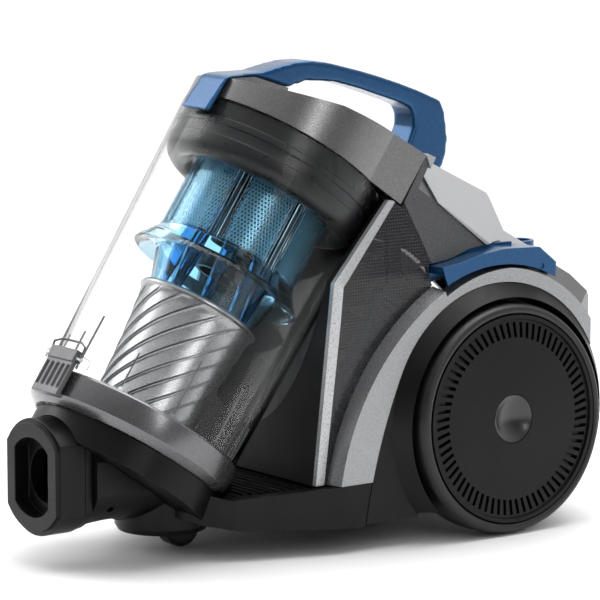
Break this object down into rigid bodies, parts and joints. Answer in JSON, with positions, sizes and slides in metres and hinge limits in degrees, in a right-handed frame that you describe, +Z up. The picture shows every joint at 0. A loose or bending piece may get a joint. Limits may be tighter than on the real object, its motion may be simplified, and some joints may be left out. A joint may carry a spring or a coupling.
{
  "type": "canister vacuum cleaner",
  "caption": "Bagless canister vacuum cleaner with a tilted clear dust bin, carrying handle, large rear wheels, front caster and a hose inlet.",
  "frame": {"origin": "on the floor, below the middle of the machine's outer box", "axes": "+X to the machine's left side, -Y towards the hose inlet at the front, +Z up"},
  "size_m": [0.2464, 0.462, 0.3464],
  "materials": {
    "black_plastic": "fine matte moulded texture",
    "black_inner": "plain moulded",
    "wheel_plastic": "satin moulded",
    "tyre_rubber": "soft satin",
    "silver_trim": "satin silver paint",
    "smoke_clear": "smoked clear with a fine dot print",
    "filter_blue": "plain moulded",
    "grey_metallic": "satin metallic grey",
    "pale_silver": "satin pale silver",
    "blue_metallic": "metallic blue lacquer",
    "clear_plastic": "clear polished",
    "floor_grey": "satin grey",
    "latch_grey": "satin grey",
    "cone_silver": "bright silver lacquer",
    "blue_clear": "tinted clear",
    "blue_mesh": "perforated moulding",
    "dark_grey": "satin dark grey",
    "filter_white": "felt",
    "steel": "turned",
    "fan_alloy": "satin",
    "seal_rubber": "matte",
    "board_green": "solder mask",
    "bright_chrome": "polished"
  },
  "bodies": {
    "canister": {"chassis_base": "black_plastic", "front_cover": "black_plastic", "snout_duct": "black_plastic", "inlet_collar": "black_plastic", "inlet_seal": "seal_rubber", "air_duct": "black_inner", "ribbed_deck": "black_plastic", "arch_panel_left": "black_plastic", "arch_panel_right": "black_plastic", "arch_trim_left": "silver_trim", "arch_trim_right": "silver_trim", "side_strip_left": "silver_trim", "side_strip_right": "silver_trim", "side_window_left": "smoke_clear", "side_window_right": "smoke_clear", "exhaust_filter_left": "filter_blue", "exhaust_filter_right": "filter_blue", "upper_shell": "grey_metallic", "top_panel": "pale_silver", "bin_cradle": "black_plastic", "rear_grille": "black_plastic", "motor_housing": "black_inner", "motor_can": "steel", "motor_mount_front": "seal_rubber", "motor_mount_rear": "seal_rubber", "circuit_board": "board_green", "reel_axle": "steel", "cord_gland": "black_inner", "axle_left": "steel", "axle_right": "steel", "pedal_pins": "steel", "cover_screws": "steel"},
    "wheel_left": {"wheel_disc_left": "wheel_plastic", "tyre_left": "tyre_rubber", "hub_cap_left": "wheel_plastic"},
    "wheel_right": {"wheel_disc_right": "wheel_plastic", "tyre_right": "tyre_rubber", "hub_cap_right": "wheel_plastic"},
    "caster": {"caster_fork": "black_inner", "caster_axle": "steel"},
    "caster_roller": {"caster_wheel": "tyre_rubber"},
    "bin": {"clear_bin": "clear_plastic", "bin_floor": "floor_grey", "floor_seal": "seal_rubber", "floor_hinge_pin": "steel", "latch_pin": "steel", "cyclone_cone": "cone_silver", "shroud_skirt": "blue_clear", "mesh_shroud": "blue_mesh", "filter_housing": "dark_grey", "bin_filter": "filter_white", "bin_cap": "grey_metallic", "handle": "blue_metallic"},
    "latch": {"bin_latch": "latch_grey"},
    "button": {"release_button": "bright_chrome"},
    "pedal_left": {"pedal_left": "blue_metallic"},
    "pedal_right": {"pedal_right": "blue_metallic"},
    "knob": {"suction_knob": "blue_metallic"},
    "fan": {"fan_wheel": "fan_alloy"},
    "reel": {"cord_reel": "black_inner"}
  },
  "joints": [
    {"name": "wheel_left_spin", "type": "hinge", "parent": "canister", "child": "wheel_left", "pos_m": [0.103, 0.112, 0.08538], "axis": [0.9992, 0, 0.0401], "continuous": true},
    {"name": "wheel_right_spin", "type": "hinge", "parent": "canister", "child": "wheel_right", "pos_m": [-0.103, 0.112, 0.08538], "axis": [0.9992, 0, -0.0401], "continuous": true},
    {"name": "caster_swivel", "type": "hinge", "parent": "canister", "child": "caster", "pos_m": [0, -0.119, 0.035], "axis": [0, 0, 1], "continuous": true},
    {"name": "caster_spin", "type": "hinge", "parent": "caster", "child": "caster_roller", "pos_m": [0, -0.105, 0.015], "axis": [1, 0, 0], "continuous": true},
    {"name": "bin_lift", "type": "slide", "parent": "canister", "child": "bin", "axis": [0, 0.5707, 0.8211], "range_m": [0, 0.25]},
    {"name": "latch_swing", "type": "hinge", "parent": "bin", "child": "latch", "pos_m": [0, -0.2017, 0.14846], "axis": [-1, 0, 0], "range_deg": [0, 12], "stiffness_Nm_per_rad": 0.4, "springref_deg": -5.73},
    {"name": "button_press", "type": "slide", "parent": "bin", "child": "button", "axis": [0, -0.8171, -0.5764], "range_m": [0, 0.003], "stiffness_N_per_m": 600, "springref_m": -0.002},
    {"name": "pedal_left_press", "type": "hinge", "parent": "canister", "child": "pedal_left", "pos_m": [0.09, 0.152, 0.19338], "axis": [1, 0, 0], "range_deg": [0, 4], "stiffness_Nm_per_rad": 6, "springref_deg": -2.86},
    {"name": "pedal_right_press", "type": "hinge", "parent": "canister", "child": "pedal_right", "pos_m": [-0.09, 0.152, 0.19338], "axis": [1, 0, 0], "range_deg": [0, 4], "stiffness_Nm_per_rad": 6, "springref_deg": -2.86},
    {"name": "knob_turn", "type": "hinge", "parent": "canister", "child": "knob", "pos_m": [0.03, 0.191, 0.18838], "axis": [0, 0, 1], "range_deg": [-135, 135]},
    {"name": "fan_spin", "type": "hinge", "parent": "canister", "child": "fan", "pos_m": [0, 0.06, 0.10738], "axis": [0, 1, 0], "continuous": true},
    {"name": "reel_spin", "type": "hinge", "parent": "canister", "child": "reel", "pos_m": [0, 0.17, 0.09538], "axis": [0, 1, 0], "continuous": true}
  ]
}
